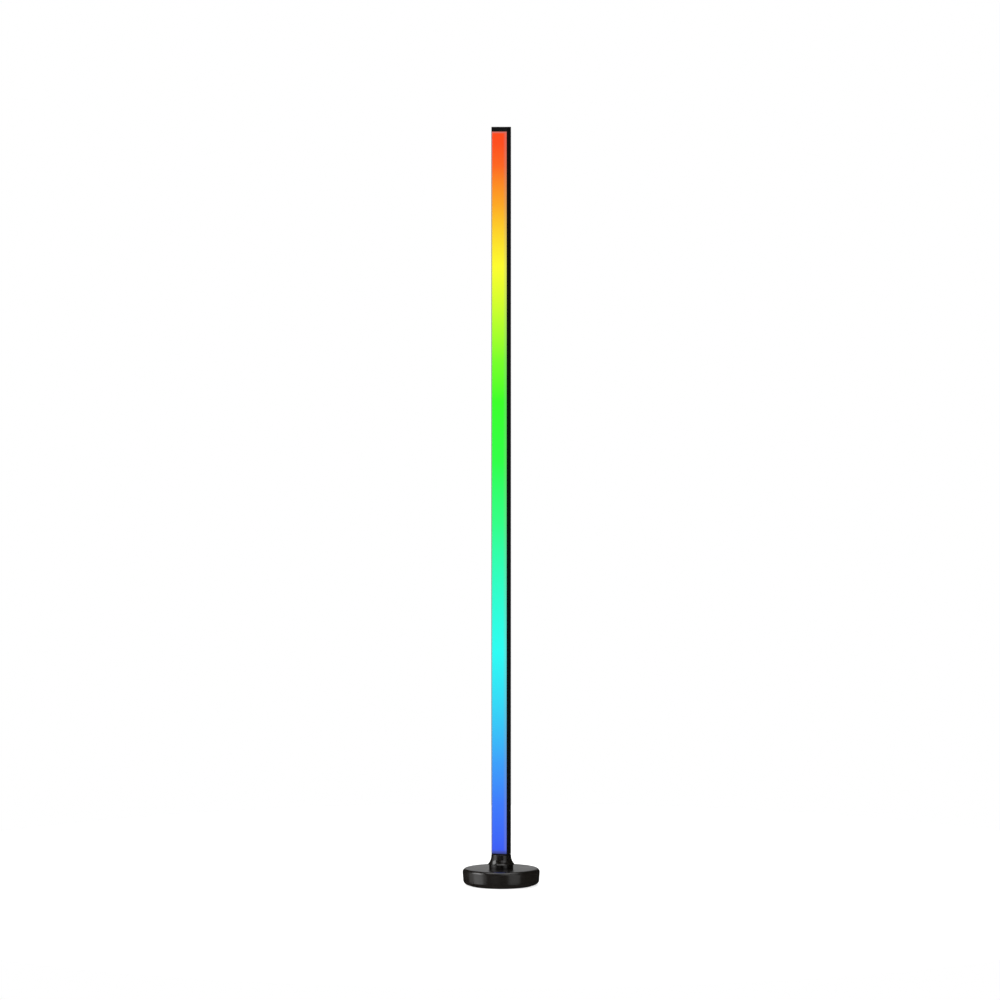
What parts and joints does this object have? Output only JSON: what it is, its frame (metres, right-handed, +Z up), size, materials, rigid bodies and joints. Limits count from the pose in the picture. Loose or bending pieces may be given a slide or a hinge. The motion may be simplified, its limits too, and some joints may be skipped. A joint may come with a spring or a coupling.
{
  "type": "corner floor lamp",
  "caption": "Tall square floor lamp column with a lit front face, on a flared neck and a round weighted base with a rear power inlet and push button.",
  "frame": {"origin": "centre of the round base where it rests on the floor", "axes": "+Z up along the column, -Y the way the lit face looks, +Y towards the rear inlet and button"},
  "size_m": [0.1448, 0.1448, 1.42],
  "materials": {
    "black_anodised": "extruded, black anodised, satin",
    "mill_aluminium": "mill finish",
    "cast_foot": "die-cast, black powder coat",
    "black_screw": "black oxide",
    "zinc_screw": "zinc plated",
    "cap_plastic": "moulded ABS, satin",
    "milky_diffuser": "extruded milky polycarbonate, lit from behind",
    "strip_film": "white flexible circuit",
    "tape_film": "double-sided tape",
    "lamp_package": "moulded lamp package",
    "white_housing": "moulded nylon",
    "lead_sheath": "soft sheath",
    "gloss_abs": "moulded ABS, polished",
    "tray_abs": "moulded ABS, satin",
    "weight_steel": "plain, oiled",
    "pad_foam": "soft anti-slip pad",
    "board_laminate": "solder mask over laminate",
    "chip_resin": "moulded resin",
    "can_sleeve": "shrink sleeve",
    "inlet_plastic": "moulded nylon",
    "pin_metal": "nickel plated",
    "button_plastic": "moulded ABS, fine texture"
  },
  "bodies": {
    "lamp": {"channel_lower": "black_anodised", "channel_middle": "black_anodised", "channel_upper": "black_anodised", "joiner_lower": "mill_aluminium", "joiner_upper": "mill_aluminium", "column_foot": "cast_foot", "joiner_screws": "black_screw", "foot_screws": "black_screw", "tray_screws": "zinc_screw", "board_screws": "zinc_screw", "threaded_tube": "zinc_screw", "tube_nut": "zinc_screw", "lock_washer": "zinc_screw", "flat_washer": "zinc_screw", "top_cap": "cap_plastic", "diffuser": "milky_diffuser", "led_strip": "strip_film", "strip_tape": "tape_film", "led_chips": "lamp_package", "strip_connector": "white_housing", "lead_socket": "white_housing", "lead_plug": "white_housing", "strip_lead": "lead_sheath", "neck": "gloss_abs", "neck_collar": "gloss_abs", "base_cover": "gloss_abs", "base_tray": "tray_abs", "base_weight": "weight_steel", "base_pad": "pad_foam", "controller_board": "board_laminate", "controller_chip": "chip_resin", "capacitors": "can_sleeve", "dc_inlet": "inlet_plastic", "tact_switch": "inlet_plastic", "dc_pin": "pin_metal"},
    "button": {"mode_button": "button_plastic", "tact_plunger": "button_plastic"}
  },
  "joints": [
    {"name": "button_press", "type": "slide", "parent": "lamp", "child": "button", "axis": [0, 1, 0], "range_m": [-0.001, 0], "stiffness_N_per_m": 1500, "springref_m": 0.0003}
  ]
}
